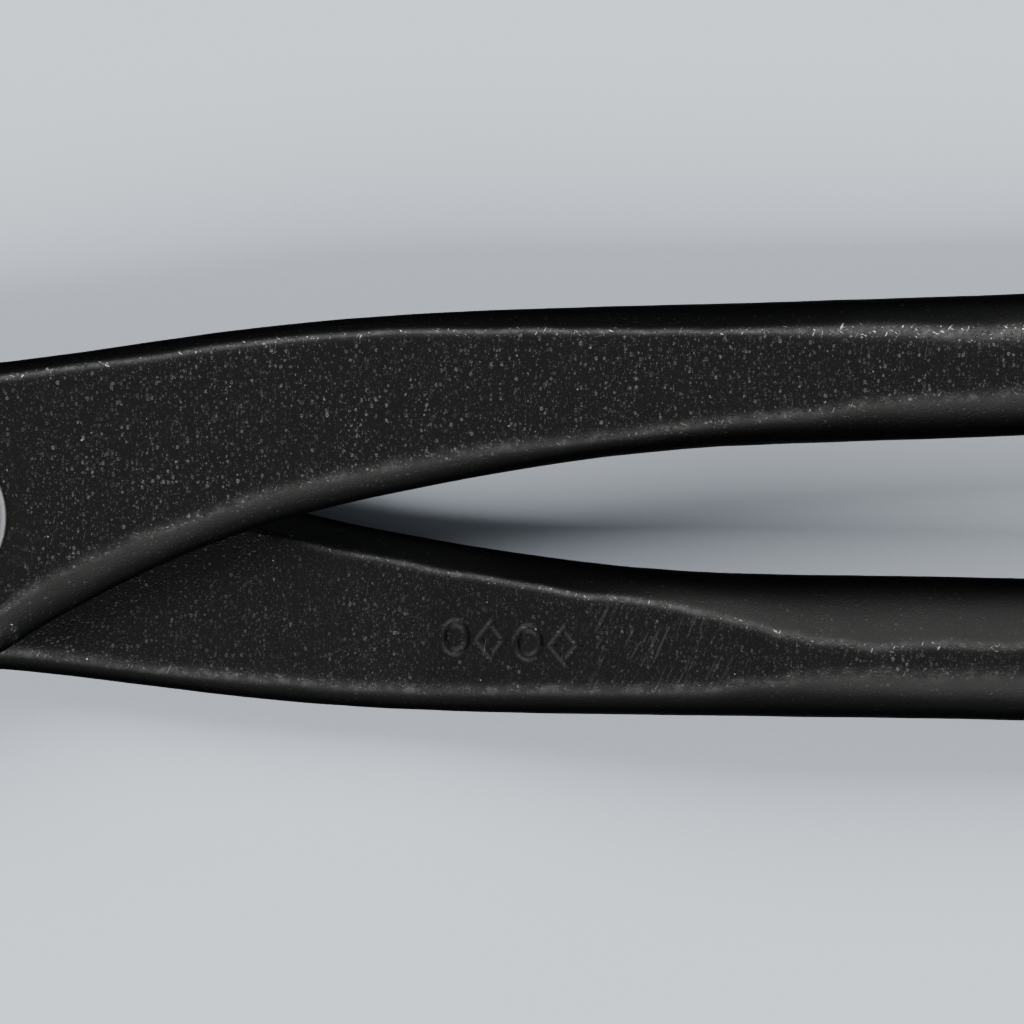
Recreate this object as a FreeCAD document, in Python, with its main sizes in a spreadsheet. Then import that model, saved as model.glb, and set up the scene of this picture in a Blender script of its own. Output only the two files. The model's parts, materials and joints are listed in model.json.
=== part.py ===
import FreeCAD, Part
import math
import os
import Sketcher

V = FreeCAD.Vector

# Cuticle nipper: two identical forgings, one turned over, crossed at a half-lap joint on a rivet,
# with two leaf springs between the handles.
# Origin: on the pivot axis, at the flat underside of the joint. +X runs along the handles, +Y is
# the side of the upper lever's handle, +Z runs from the underside up through the rivet head.
# The handles stand as the relaxed springs hold them, with the jaws a little open.

doc = FreeCAD.newDocument("CuticleNipper")
sheet = doc.addObject("Spreadsheet::Sheet", "Sizes")

# name, value in mm or degrees, what it is
SIZES = [
    ("joint_thickness", 5.6, "both levers at the lap joint"),
    ("forging_step", 0.08, "forged flats below the ground faces of the boss, both sides together"),
    ("boss_radius", 5.25, "round boss of each lever at the pivot"),
    ("lap_gap", 0.06, "between the two lap faces"),
    ("lap_reach", 16.4, "where the lap face stops and its ramp begins"),
    ("ramp_angle", 11.5, "rise of the ramp from the lap face, degrees"),
    ("shoulder_radius", 6.0, "round shoulder that clears the other lever's boss"),
    ("closing_angle", 5.0, "turn of one lever on the other from rest to closed jaws, degrees"),
    # shank and handle: distance from the pivot, centre line, width and flat of each section
    ("boss_centre", 0.05, "centre line at the pivot"),
    ("boss_width", 10.3, "width at the pivot"),
    ("boss_flat", 9.2, "flat at the pivot"),
    ("neck_x", 5.0, "section behind the boss"),
    ("neck_centre", 1.2, "its centre line"),
    ("neck_width", 8.7, "its width"),
    ("neck_flat", 6.6, "its flat"),
    ("crossing_x", 11.0, "section where the shanks cross"),
    ("crossing_centre", 2.9, "its centre line"),
    ("crossing_width", 6.87, "its width"),
    ("crossing_flat", 5.3, "its flat"),
    ("fork_x", 17.0, "section where the shanks part"),
    ("fork_centre", 3.84, "its centre line"),
    ("fork_width", 5.92, "its width"),
    ("fork_flat", 4.25, "its flat"),
    ("shank_x", 24.0, "section of the shank"),
    ("shank_centre", 4.46, "its centre line"),
    ("shank_width", 5.08, "its width"),
    ("shank_flat", 3.4, "its flat"),
    ("shank_thickness", 5.45, "its thickness"),
    ("waist_x", 34.0, "narrowest section"),
    ("waist_centre", 4.78, "its centre line"),
    ("waist_width", 4.88, "its width"),
    ("waist_flat", 2.1, "its flat"),
    ("waist_thickness", 5.0, "its thickness"),
    ("seat_x", 45.0, "section at the spring seat and its screw"),
    ("seat_centre", 5.25, "its centre line"),
    ("seat_width", 4.95, "its width"),
    ("seat_flat", 1.7, "its flat"),
    ("seat_thickness", 4.6, "its thickness"),
    ("grip_back", 21.0, "fullest section of the grip, from the end of the handle"),
    ("grip_centre", 6.6, "its centre line"),
    ("grip_width", 5.7, "its width"),
    ("grip_flat", 1.7, "its flat"),
    ("grip_thickness", 5.0, "its thickness"),
    ("palm_back", 12.0, "section behind the grip, from the end of the handle"),
    ("palm_centre", 7.15, "its centre line"),
    ("palm_width", 5.35, "its width"),
    ("palm_flat", 1.6, "its flat"),
    ("palm_thickness", 4.75, "its thickness"),
    ("handle_reach", 82.0, "from the pivot to the end of the handle"),
    ("heel_centre", 7.3, "centre line near the end"),
    ("heel_width", 4.9, "width near the end"),
    ("heel_flat", 1.5, "flat near the end"),
    ("heel_thickness", 4.4, "thickness near the end"),
    # jaws, drawn closed
    ("jaw_reach", 20.0, "from the pivot to the cutting tip"),
    ("jaw_bulge_x", 9.0, "where the jaw is widest, in front of the pivot"),
    ("jaw_width", 5.4, "one jaw at its widest"),
    ("jaw_tip_width", 1.3, "one jaw at its tip"),
    ("throat_x", 9.2, "middle of the throat, in front of the pivot"),
    ("throat_radius", 2.0, "hollow behind the cutting edges, shared by both jaws"),
    ("edge_gap", 0.01, "from each cutting edge to the middle plane, jaws closed"),
    ("edge_heel_x", 14.0, "heel of the cutting edge, in front of the pivot"),
    ("edge_heel_height", 0.4, "height of the heel over the underside"),
    ("edge_tip_drop", 0.2, "tip of the cutting edge below the top face"),
    ("blade_angle", 40.0, "between the ground front face and the middle plane, degrees"),
    ("relief_angle", 6.0, "hollow grind behind the cutting edge, degrees"),
    ("relief_length", 14.5, "length of the relief grind, which stops short of the boss"),
    # rivet and washer
    ("pivot_radius", 1.5, "rivet shank"),
    ("pivot_clearance", 0.03, "round the shank in the upper lever"),
    ("rivet_fit", 0.01, "round the shank and its closing head in the lower lever"),
    ("rivet_head_radius", 2.55, "polished head"),
    ("rivet_head_rise", 0.55, "head over the washer"),
    ("washer_radius", 2.75, "outer radius of the washer"),
    ("washer_thickness", 0.2, "washer"),
    ("closing_head_radius", 2.4, "flush head on the underside"),
    ("closing_head_depth", 0.9, "flush head on the underside"),
    # springs
    ("leaf_thickness", 0.4, "spring leaf"),
    ("leaf_height", 3.0, "spring leaf"),
    ("leaf_foot", 5.4, "length of the flat foot"),
    ("leaf_reach", 63.5, "from the pivot to the middle of the barrel"),
    ("leaf_seat_y", 3.25, "face of the milled spring seat, from the middle plane"),
    ("leaf_seat_margin", 0.15, "seat beyond the leaf at its start and sides"),
    ("leaf_seat_run", 4.5, "seat beyond the foot, where the leaf bends away"),
    ("barrel_radius", 0.6, "rolled tip of the upper leaf"),
    ("barrel_clearance", 0.04, "between barrel and hook"),
    ("hook_wrap", 150.0, "how far the hook goes round the barrel, degrees"),
    ("screw_radius", 0.7, "screw shank"),
    ("screw_clearance", 0.03, "round the screw in its holes"),
    ("screw_depth", 2.4, "screw in the lever"),
    ("screw_head_radius", 1.3, "screw head"),
    ("screw_head_height", 0.6, "screw head"),
    ("slot_width", 0.4, "screwdriver slot"),
    ("slot_depth", 0.3, "screwdriver slot"),
]

for row, (alias, value, note) in enumerate(SIZES, start=1):
    sheet.set(f"A{row}", alias)
    sheet.set(f"B{row}", str(value))
    sheet.setAlias(f"B{row}", alias)
    sheet.set(f"C{row}", note)
doc.recompute()


def size(alias):
    """The value of a cell."""
    return float(sheet.get(alias))


def cell(text):
    """An expression on the sheet: each {name} is a cell."""
    names = {alias: f"Sizes.{alias}" for alias, _, _ in SIZES}
    return text.format(**names)


def bind(obj, prop, text):
    """Bind a property to an expression on the sheet."""
    obj.setExpression(prop, cell(text))


def origin_plane(body, role):
    """One of the body's own origin planes, by its role."""
    for feature in body.Origin.OriginFeatures:
        if feature.Role == role:
            return feature
    raise RuntimeError("no plane " + role)


def new_body(name):
    return doc.addObject("PartDesign::Body", name)


def new_sketch(body, name, role):
    """An empty sketch on one of the body's origin planes."""
    sketch = body.newObject("Sketcher::SketchObject", name)
    sketch.AttachmentSupport = [(origin_plane(body, role), "")]
    sketch.MapMode = "FlatFace"
    return sketch


def value(obj, text):
    """What an expression comes to now."""
    return float(obj.evalExpression(cell(text)))


def constrain(sketch, text, *constraint):
    """Add a dimension to a sketch and bind it to an expression."""
    index = sketch.addConstraint(Sketcher.Constraint(*constraint, value(sketch, text)))
    sketch.setExpression(f"Constraints[{index}]", cell(text))


def add_arc(sketch, start, end, radius, turn):
    """A short arc from start to end, and its start and end point numbers. turn is 1 or -1."""
    chord = end - start
    half = chord.Length / 2
    radius = max(radius, half)
    across = V(-chord.y, chord.x, 0).normalize() * math.sqrt(radius**2 - half**2)
    centre = (start + end) / 2 + across * turn
    first, last = (start, end) if turn > 0 else (end, start)
    angles = [math.atan2(p.y - centre.y, p.x - centre.x) for p in (first, last)]
    circle = Part.Circle(centre, V(0, 0, 1), radius)
    geometry = sketch.addGeometry(Part.ArcOfCircle(circle, *angles))
    return (geometry, 1, 2) if turn > 0 else (geometry, 2, 1)


def draw(sketch, corners, edges, closed=True):
    """Draw a wire. A corner is two expressions. An edge is None, or (radius, turn) for an arc."""
    places = [V(value(sketch, x), value(sketch, y), 0) for x, y in corners]
    parts = []
    for index, edge in enumerate(edges):
        start = places[index]
        end = places[(index + 1) % len(places)]
        if edge is None:
            parts.append((sketch.addGeometry(Part.LineSegment(start, end)), 1, 2))
        else:
            radius, turn = edge
            parts.append(add_arc(sketch, start, end, value(sketch, radius), turn))
    for index, (geometry, first, last) in enumerate(parts):
        x_text, y_text = corners[index]
        constrain(sketch, x_text, "DistanceX", geometry, first)
        constrain(sketch, y_text, "DistanceY", geometry, first)
        if edges[index] is not None:
            constrain(sketch, edges[index][0], "Radius", geometry)
        if closed or index + 1 < len(parts):
            following, its_first, _ = parts[(index + 1) % len(parts)]
            sketch.addConstraint(Sketcher.Constraint("Coincident", geometry, last,
                                                     following, its_first))
    if not closed:
        geometry, _, last = parts[-1]
        x_text, y_text = corners[-1]
        constrain(sketch, x_text, "DistanceX", geometry, last)
        constrain(sketch, y_text, "DistanceY", geometry, last)


def draw_circle(sketch, x_text, y_text, radius_text):
    """Draw a circle at a place given by expressions."""
    centre = V(value(sketch, x_text), value(sketch, y_text), 0)
    circle = Part.Circle(centre, V(0, 0, 1), value(sketch, radius_text))
    geometry = sketch.addGeometry(circle)
    constrain(sketch, x_text, "DistanceX", geometry, 3)
    constrain(sketch, y_text, "DistanceY", geometry, 3)
    constrain(sketch, radius_text, "Radius", geometry)


def add_feature(body, kind, name, sketch, **settings):
    """Add a feature on a sketch to the body and give it its settings."""
    new = body.newObject("PartDesign::" + kind, name)
    new.Profile = sketch
    for key, setting in settings.items():
        setattr(new, key, setting)
    sketch.Visibility = False
    return new


def turn_half_closing(sketch):
    """Turn a jaw sketch, drawn with closed jaws, to where it stands at rest."""
    sketch.AttachmentOffset = FreeCAD.Placement(V(), V(0, 0, 1), size("closing_angle") / 2)
    bind(sketch, "AttachmentOffset.Rotation.Angle", "{closing_angle} / 2")


MID = "{joint_thickness} / 2"

# The sections of shank and handle: distance, centre line, width, flat and thickness.
HEEL_ROUNDING = [(1.1, 1.0, 1.0), (0.5, 0.87, 0.88), (0.15, 0.6, 0.62), (0.0, 0.3, 0.32)]
BLANK = "{joint_thickness} - {forging_step}"
SECTIONS = [
    ("0", "{boss_centre}", "{boss_width}", "{boss_flat}", BLANK),
    ("{neck_x}", "{neck_centre}", "{neck_width}", "{neck_flat}", BLANK),
    ("{crossing_x}", "{crossing_centre}", "{crossing_width}", "{crossing_flat}", BLANK),
    ("{fork_x}", "{fork_centre}", "{fork_width}", "{fork_flat}", BLANK),
    ("{shank_x}", "{shank_centre}", "{shank_width}", "{shank_flat}", "{shank_thickness}"),
    ("{waist_x}", "{waist_centre}", "{waist_width}", "{waist_flat}", "{waist_thickness}"),
    ("{seat_x}", "{seat_centre}", "{seat_width}", "{seat_flat}", "{seat_thickness}"),
    ("{handle_reach} - {grip_back}", "{grip_centre}", "{grip_width}", "{grip_flat}",
     "{grip_thickness}"),
    ("{handle_reach} - {palm_back}", "{palm_centre}", "{palm_width}", "{palm_flat}",
     "{palm_thickness}"),
]
for back, wide, thick in HEEL_ROUNDING:
    SECTIONS.append((f"{{handle_reach}} - {{heel_width}} * {back}", "{heel_centre}",
                     f"{{heel_width}} * {wide}", f"{{heel_flat}} * {wide}",
                     f"{{heel_thickness}} * {thick}"))


def forging(name):
    """One lever as the upper one: handle at +Y, jaw at -Y, lap face underneath."""
    body = new_body(name)

    sketches = []
    for index, (distance, centre, width, flat, thickness) in enumerate(SECTIONS):
        sketch = new_sketch(body, f"{name}_section_{index}", "YZ_Plane")
        bind(sketch, "AttachmentOffset.Base.z", distance)
        low = (f"{MID} - ({thickness}) / 2", f"{MID} + ({thickness}) / 2")
        side = (f"{centre} - {flat} / 2", f"{centre} + {flat} / 2")
        bulge = f"({width} - {flat}) / 2"
        arc = (f"((({thickness}) / 2) ^ 2 + ({bulge}) ^ 2) / (2 * {bulge})", 1)
        draw(sketch, [(side[0], low[0]), (side[1], low[0]), (side[1], low[1]), (side[0], low[1])],
             [None, arc, None, arc])
        sketches.append(sketch)
    doc.recompute()
    add_feature(body, "AdditiveLoft", name + "_handle", sketches[0], Sections=sketches[1:],
                Ruled=False, Closed=False)

    sketch = new_sketch(body, name + "_boss_outline", "XY_Plane")
    draw_circle(sketch, "0", "0", "{boss_radius}")
    boss = add_feature(body, "Pad", name + "_boss", sketch)
    bind(boss, "Length", "{joint_thickness}")

    sketch = new_sketch(body, name + "_jaw_outline", "XY_Plane")
    turn_half_closing(sketch)
    corners = [
        ("-{jaw_reach}", "-{edge_gap}"),
        ("-{boss_radius} * 0.8", "-{edge_gap}"),
        ("0", "-{boss_radius} * 0.99"),
        ("-{jaw_bulge_x}", "-{jaw_width}"),
        ("-{jaw_reach}", "-{jaw_tip_width}"),
    ]
    edges = [None, None, ("{jaw_bulge_x} * 3", -1), ("{jaw_reach} * 1.2", -1), None]
    draw(sketch, corners, edges)
    jaw = add_feature(body, "Pad", name + "_jaw", sketch)
    bind(jaw, "Length", "{joint_thickness}")
    doc.recompute()

    sketch = new_sketch(body, name + "_lap_profile", "XZ_Plane")
    lap_face = "({joint_thickness} + {lap_gap}) / 2"
    below = "-{joint_thickness} / 4"
    ramp_foot = ("{lap_reach} + (({joint_thickness} + {lap_gap}) / 2 + {joint_thickness} / 4)"
                 " / tan({ramp_angle} * 1 deg)")
    start = "-{pivot_radius}"
    corners = [(start, below), (ramp_foot, below), ("{lap_reach}", lap_face), (start, lap_face)]
    draw(sketch, corners, [None] * 4)
    ramp = add_feature(body, "Pocket", name + "_lap_ramp", sketch, SideType="Symmetric")
    bind(ramp, "Length", "{boss_radius} * 6")

    sketch = new_sketch(body, name + "_lap_circle", "XY_Plane")
    draw_circle(sketch, "0", "0", "{shoulder_radius}")
    lap = add_feature(body, "Pocket", name + "_lap", sketch, Reversed=True)
    bind(lap, "Length", "({joint_thickness} + {lap_gap}) / 2")

    sketch = new_sketch(body, name + "_throat_circle", "XY_Plane")
    turn_half_closing(sketch)
    draw_circle(sketch, "-{throat_x}", "0", "{throat_radius}")
    add_feature(body, "Pocket", name + "_throat", sketch, Reversed=True, Type="ThroughAll")

    sketch = new_sketch(body, name + "_seat_outline", "XZ_Plane")
    seat_low = "{seat_x} - {leaf_foot} / 2 - {leaf_seat_margin}"
    seat_high = "{seat_x} + {leaf_foot} / 2 + {leaf_seat_run}"
    seat_below = f"{MID} - {{leaf_height}} / 2 - {{leaf_seat_margin}}"
    seat_above = f"{MID} + {{leaf_height}} / 2 + {{leaf_seat_margin}}"
    draw(sketch, [(seat_low, seat_below), (seat_high, seat_below), (seat_high, seat_above),
                  (seat_low, seat_above)], [None] * 4)
    seat = add_feature(body, "Pocket", name + "_seat", sketch)
    bind(seat, "Length", "{leaf_seat_y}")

    sketch = new_sketch(body, name + "_screw_circle", "XZ_Plane")
    draw_circle(sketch, "{seat_x}", MID, "{screw_radius} + {screw_clearance}")
    hole = add_feature(body, "Pocket", name + "_screw_hole", sketch)
    bind(hole, "Length", "{leaf_seat_y} + {screw_depth} + {screw_clearance}")
    doc.recompute()
    return body


def drill_clearance(body):
    """The hole that lets the upper lever turn on the rivet."""
    sketch = new_sketch(body, "clearance_circle", "XY_Plane")
    draw_circle(sketch, "0", "0", "{pivot_radius} + {pivot_clearance}")
    add_feature(body, "Pocket", "clearance_hole", sketch, Reversed=True, Type="ThroughAll")


def drill_countersink(body):
    """The countersunk hole that the rivet is closed in. The outer face is the body's top face."""
    sketch = new_sketch(body, "countersink_profile", "XZ_Plane")
    rim = "{closing_head_radius} + {rivet_fit}"
    bore = "{pivot_radius} + {rivet_fit}"
    step = "{joint_thickness} - {closing_head_depth}"
    corners = [("0", "0"), (bore, "0"), (bore, step), (rim, "{joint_thickness}"),
               ("0", "{joint_thickness}")]
    draw(sketch, corners, [None] * 5)
    add_feature(body, "Groove", "countersunk_hole", sketch, Angle=360,
                ReferenceAxis=(sketch, ["V_Axis"]))


def grinding_block(name, side, angle_alias, front):
    """A block that grinds a jaw along its cutting edge. side is 1 for the upper lever.

    The edge runs from the heel to the tip in the middle plane. The ground face leaves it at an
    angle to the middle plane, backwards and outwards, and the block stands on that face.
    """
    mid = size("joint_thickness") / 2
    low = size("edge_heel_height") - mid
    high = size("joint_thickness") - size("edge_tip_drop") - mid
    heel = V(-size("edge_heel_x"), -size("edge_gap"), mid + side * low)
    tip = V(-size("jaw_reach"), -size("edge_gap"), mid + side * high)
    along = (tip - heel).normalize()
    back = V(along.z * side, 0, -along.x * side)
    angle = math.radians(size(angle_alias))
    face = back * math.cos(angle) + V(0, -1, 0) * math.sin(angle)
    outward = face.cross(along)
    if (outward.y < 0) != front:
        outward = -outward
    block = doc.addObject("Part::Box", name)
    bind(block, "Length", "{joint_thickness} * 4" if front else "{relief_length}")
    bind(block, "Width", "{jaw_width} * 4")
    bind(block, "Height", "{jaw_width} * 2")
    block.recompute()
    across = outward.cross(along)
    corner = (heel + tip) / 2 - along * block.Length.Value / 2 - across * block.Width.Value / 2
    turned = FreeCAD.Placement(V(), V(0, 0, 1), size("closing_angle") / 2)
    frame = FreeCAD.Placement(corner, FreeCAD.Rotation(along, across, outward, "ZXY"))
    block.Placement = turned.multiply(frame)
    return block


def cut(name, base, tool):
    new = doc.addObject("Part::Cut", name)
    new.Base = base
    new.Tool = tool
    return new


# The upper lever, and the same forging turned over about the X axis.
upper_body = forging("upper_forging")
drill_clearance(upper_body)
upper_front = grinding_block("upper_front_grind", 1, "blade_angle", True)
upper_relief = grinding_block("upper_relief_grind", 1, "relief_angle", False)
doc.recompute()
upper_lever = cut("upper_ground", cut("upper_front_ground", upper_body, upper_front), upper_relief)
upper_lever.Label = "upper_lever"

lower_body = forging("lower_forging")
drill_countersink(lower_body)
lower_front = grinding_block("lower_front_grind", -1, "blade_angle", True)
lower_relief = grinding_block("lower_relief_grind", -1, "relief_angle", False)
doc.recompute()
lower_lever = cut("lower_ground", cut("lower_front_ground", lower_body, lower_front), lower_relief)
lower_lever.Label = "lower_lever"
lower_lever.Placement = FreeCAD.Placement(V(0, 0, size("joint_thickness")), V(1, 0, 0), 180)
bind(lower_lever, "Placement.Base.z", "{joint_thickness}")

# The rivet: flush closing head below, shank, domed head on the washer.
pivot_rivet = new_body("pivot_rivet")
sketch = new_sketch(pivot_rivet, "rivet_profile", "XZ_Plane")
head_seat = "{joint_thickness} + {washer_thickness}"
head_rim = head_seat + " + {rivet_head_rise} * 0.35"
head_top = head_seat + " + {rivet_head_rise}"
dome = ("({rivet_head_radius} ^ 2 + ({rivet_head_rise} * 0.65) ^ 2)"
        " / (2 * {rivet_head_rise} * 0.65)")
corners = [("0", "0"), ("{closing_head_radius}", "0"), ("{pivot_radius}", "{closing_head_depth}"),
           ("{pivot_radius}", head_seat), ("{rivet_head_radius}", head_seat),
           ("{rivet_head_radius}", head_rim), ("0", head_top)]
draw(sketch, corners, [None, None, None, None, None, (dome, 1), None])
add_feature(pivot_rivet, "Revolution", "rivet_turned", sketch, Angle=360,
            ReferenceAxis=(sketch, ["V_Axis"]))
pivot_rivet.Label = "pivot_rivet"

# The washer between the rivet head and the upper lever.
top_washer = new_body("top_washer")
sketch = new_sketch(top_washer, "washer_outline", "XY_Plane")
bind(sketch, "AttachmentOffset.Base.z", "{joint_thickness}")
draw_circle(sketch, "0", "0", "{washer_radius}")
draw_circle(sketch, "0", "0", "{pivot_radius} + {pivot_clearance}")
washer = add_feature(top_washer, "Pad", "washer_blank", sketch)
bind(washer, "Length", "{washer_thickness}")
top_washer.Label = "top_washer"


def leaf_spring(name, side, tip_offset, hooked):
    """A leaf: flat foot on the seat, an S-bend to the middle plane, then a barrel or a hook.

    side is 1 on the upper lever. tip_offset is how far the leaf's own middle stays from the
    middle plane at the barrel.
    """
    body = new_body(name)
    sign = "" if side > 0 else "-"
    foot_start = "{seat_x} - {leaf_foot} / 2"
    foot_end = "{seat_x} + {leaf_foot} / 2"
    foot_y = "({leaf_seat_y} - {leaf_thickness} / 2)"
    span = f"({{leaf_reach}} - {foot_end.replace(' + ', ' - ')})"
    drop = f"({foot_y} - ({tip_offset}))"
    bend = f"({span} ^ 2 + {drop} ^ 2) / (4 * {drop})"
    corners = [
        (foot_start, sign + foot_y),
        (foot_end, sign + foot_y),
        (f"({foot_end} + {{leaf_reach}}) / 2", f"{sign}({foot_y} + {tip_offset}) / 2"),
        ("{leaf_reach}", f"{sign}({tip_offset})"),
    ]
    edges = [None, (bend, -side), (bend, side)]
    if hooked:
        corners.append((f"{{leaf_reach}} + ({tip_offset}) * sin({{hook_wrap}} * 1 deg)",
                        f"-({tip_offset}) * cos({{hook_wrap}} * 1 deg)"))
        edges.append((tip_offset, 1))
    path = new_sketch(body, name + "_path", "XY_Plane")
    bind(path, "AttachmentOffset.Base.z", MID)
    draw(path, corners, edges, closed=False)

    strip = new_sketch(body, name + "_strip", "YZ_Plane")
    bind(strip, "AttachmentOffset.Base.z", foot_start)
    inside = f"{sign}({foot_y} - {{leaf_thickness}} / 2)"
    outside = f"{sign}({foot_y} + {{leaf_thickness}} / 2)"
    low = f"{MID} - {{leaf_height}} / 2"
    high = f"{MID} + {{leaf_height}} / 2"
    draw(strip, [(inside, low), (outside, low), (outside, high), (inside, high)], [None] * 4)
    doc.recompute()
    add_feature(body, "AdditivePipe", name + "_leaf", strip, Spine=(path, [""]))
    path.Visibility = False

    if not hooked:
        sketch = new_sketch(body, name + "_barrel_circle", "XY_Plane")
        bind(sketch, "AttachmentOffset.Base.z", low)
        draw_circle(sketch, "{leaf_reach}", "0", "{barrel_radius}")
        barrel = add_feature(body, "Pad", name + "_barrel", sketch)
        bind(barrel, "Length", "{leaf_height}")

    sketch = new_sketch(body, name + "_screw_circle", "XZ_Plane")
    draw_circle(sketch, "{seat_x}", MID, "{screw_radius} + {screw_clearance}")
    hole = add_feature(body, "Pocket", name + "_screw_hole", sketch, SideType="Symmetric")
    bind(hole, "Length", "{leaf_seat_y} * 3")
    body.Label = name
    return body


upper_leaf = leaf_spring("upper_leaf_spring", 1, "{barrel_radius} - {leaf_thickness} / 2", False)
lower_leaf = leaf_spring("lower_leaf_spring", -1,
                         "{barrel_radius} + {barrel_clearance} + {leaf_thickness} / 2", True)


def spring_screw(name, side):
    """A slotted screw, turned upright and then laid into the lever's inner wall."""
    body = new_body(name)
    sketch = new_sketch(body, name + "_profile", "XZ_Plane")
    tip = "-{screw_depth} - {leaf_thickness}"
    corners = [("0", tip), ("{screw_radius}", tip), ("{screw_radius}", "0"),
               ("{screw_head_radius}", "0"), ("{screw_head_radius}", "{screw_head_height} * 0.7"),
               ("{screw_head_radius} - {screw_head_height} * 0.3", "{screw_head_height}"),
               ("0", "{screw_head_height}")]
    draw(sketch, corners, [None] * 7)
    add_feature(body, "Revolution", name + "_turned", sketch, Angle=360,
                ReferenceAxis=(sketch, ["V_Axis"]))
    doc.recompute()
    sketch = new_sketch(body, name + "_slot_outline", "XY_Plane")
    bind(sketch, "AttachmentOffset.Base.z", "{screw_head_height}")
    draw(sketch, [("-{slot_width} / 2", "-{screw_head_radius} * 1.2"),
                  ("{slot_width} / 2", "-{screw_head_radius} * 1.2"),
                  ("{slot_width} / 2", "{screw_head_radius} * 1.2"),
                  ("-{slot_width} / 2", "{screw_head_radius} * 1.2")], [None] * 4)
    slot = add_feature(body, "Pocket", name + "_slot", sketch)
    bind(slot, "Length", "{slot_depth}")
    seat = size("leaf_seat_y") - size("leaf_thickness")
    place = V(size("seat_x"), side * seat, size("joint_thickness") / 2)
    body.Placement = FreeCAD.Placement(place, V(1, 0, 0), 90 * side)
    bind(body, "Placement.Base.x", "{seat_x}")
    bind(body, "Placement.Base.y", f"{side} * ({{leaf_seat_y}} - {{leaf_thickness}})")
    bind(body, "Placement.Base.z", MID)
    body.Label = name
    return body


upper_screw = spring_screw("upper_spring_screw", 1)
lower_screw = spring_screw("lower_spring_screw", -1)

doc.recompute()

NODES = [upper_lever, lower_lever, pivot_rivet, top_washer, upper_leaf, lower_leaf,
         upper_screw, lower_screw]

for obj in doc.Objects:
    if "Invalid" in obj.State or "Error" in obj.State:
        raise RuntimeError(f"{obj.Name} failed: {obj.State}")
for node in NODES:
    if node.Shape.isNull() or not node.Shape.isValid() or len(node.Shape.Solids) != 1:
        raise RuntimeError(f"{node.Label} is not one valid solid")

os.makedirs("parts", exist_ok=True)
for node in NODES:
    node.Shape.exportStep(f"parts/{node.Label}.step")
    box = node.Shape.BoundBox
    print(f"{node.Label}: {node.Shape.Volume:.2f} mm3, X {box.XMin:.2f} to {box.XMax:.2f}, "
          f"Y {box.YMin:.2f} to {box.YMax:.2f}, Z {box.ZMin:.2f} to {box.ZMax:.2f}")
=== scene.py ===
import json
import math
from contextlib import contextmanager

import bmesh
import bpy
import numpy as np
from bpy.props import FloatProperty, FloatVectorProperty, PointerProperty
from mathutils import Matrix, Vector, noise

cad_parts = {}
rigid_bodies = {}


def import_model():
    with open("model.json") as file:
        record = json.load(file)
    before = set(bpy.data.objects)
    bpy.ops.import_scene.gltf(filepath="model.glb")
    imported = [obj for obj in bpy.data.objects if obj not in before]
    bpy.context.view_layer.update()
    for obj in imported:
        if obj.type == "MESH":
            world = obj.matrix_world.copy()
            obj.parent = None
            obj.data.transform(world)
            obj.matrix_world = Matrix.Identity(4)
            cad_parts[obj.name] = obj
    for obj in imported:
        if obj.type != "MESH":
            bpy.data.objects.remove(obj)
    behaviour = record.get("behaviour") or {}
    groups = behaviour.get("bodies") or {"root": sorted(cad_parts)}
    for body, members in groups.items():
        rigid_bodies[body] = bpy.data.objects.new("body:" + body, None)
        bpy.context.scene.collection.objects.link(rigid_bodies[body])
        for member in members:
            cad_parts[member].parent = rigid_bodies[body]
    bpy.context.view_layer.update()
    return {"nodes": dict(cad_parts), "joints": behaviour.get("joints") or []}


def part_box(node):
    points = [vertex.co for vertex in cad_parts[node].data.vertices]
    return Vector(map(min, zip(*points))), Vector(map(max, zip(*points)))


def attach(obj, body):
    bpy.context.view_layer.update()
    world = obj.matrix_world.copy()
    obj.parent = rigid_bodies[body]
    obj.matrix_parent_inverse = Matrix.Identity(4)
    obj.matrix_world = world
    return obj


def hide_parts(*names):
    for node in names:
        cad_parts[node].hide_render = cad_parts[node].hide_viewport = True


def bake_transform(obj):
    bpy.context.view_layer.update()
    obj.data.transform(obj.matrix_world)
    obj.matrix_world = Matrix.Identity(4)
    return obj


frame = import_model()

bl_info = {
    "name": "Cuticle nipper",
    "version": (1, 0, 0),
    "blender": (4, 5, 0),
    "location": "View3D > Sidebar > Nipper",
    "description": "Black forged lap-joint nipper: levers, rivet, washer, leaf springs and screws",
    "category": "Object",
}

MM = 0.001
LOWER, UPPER = frame["joints"][0]["parent"], frame["joints"][0]["child"]
CLOSING = math.radians(-frame["joints"][0]["range_deg"][0])
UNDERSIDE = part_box("lower_lever")[0].z
JOINT_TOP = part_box("top_washer")[0].z
MIDDLE = (UNDERSIDE + JOINT_TOP) / 2
HANDLE_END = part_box("upper_lever")[1].x
JAW_REACH = -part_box("upper_lever")[0].x
LEAF_LOW, LEAF_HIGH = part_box("upper_leaf_spring")
SCREW_X = (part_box("upper_spring_screw")[0].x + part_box("upper_spring_screw")[1].x) / 2
JAW_TURN = Matrix.Rotation(CLOSING / 2, 3, "Z")

LAP_GAP = 0.03 * MM  # from the middle of the joint to each half's lap face
PIVOT_BORE = 1.53 * MM
SCREW_BORE = 0.73 * MM
HOLE_SEGMENTS = 48

FIRST_RING = 0.6 * MM  # where the shank starts, inside the boss
HANDLE_TAPER = 5 * MM  # length of the rounded end of the handle
THROAT_X, THROAT_RADIUS = -9.2 * MM, 2.0 * MM
JAW_ROUNDING = 0.6 * MM
GRIND_ANGLE, GRIND_LENGTH = math.radians(40), 22.4 * MM
RELIEF_ANGLE, RELIEF_LENGTH = math.radians(6), 14.5 * MM
GRINDING_WIDTH, GRINDING_DEPTH = 21.6 * MM, 10.8 * MM
GRINDING_HEEL = -14.0 * MM

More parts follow.
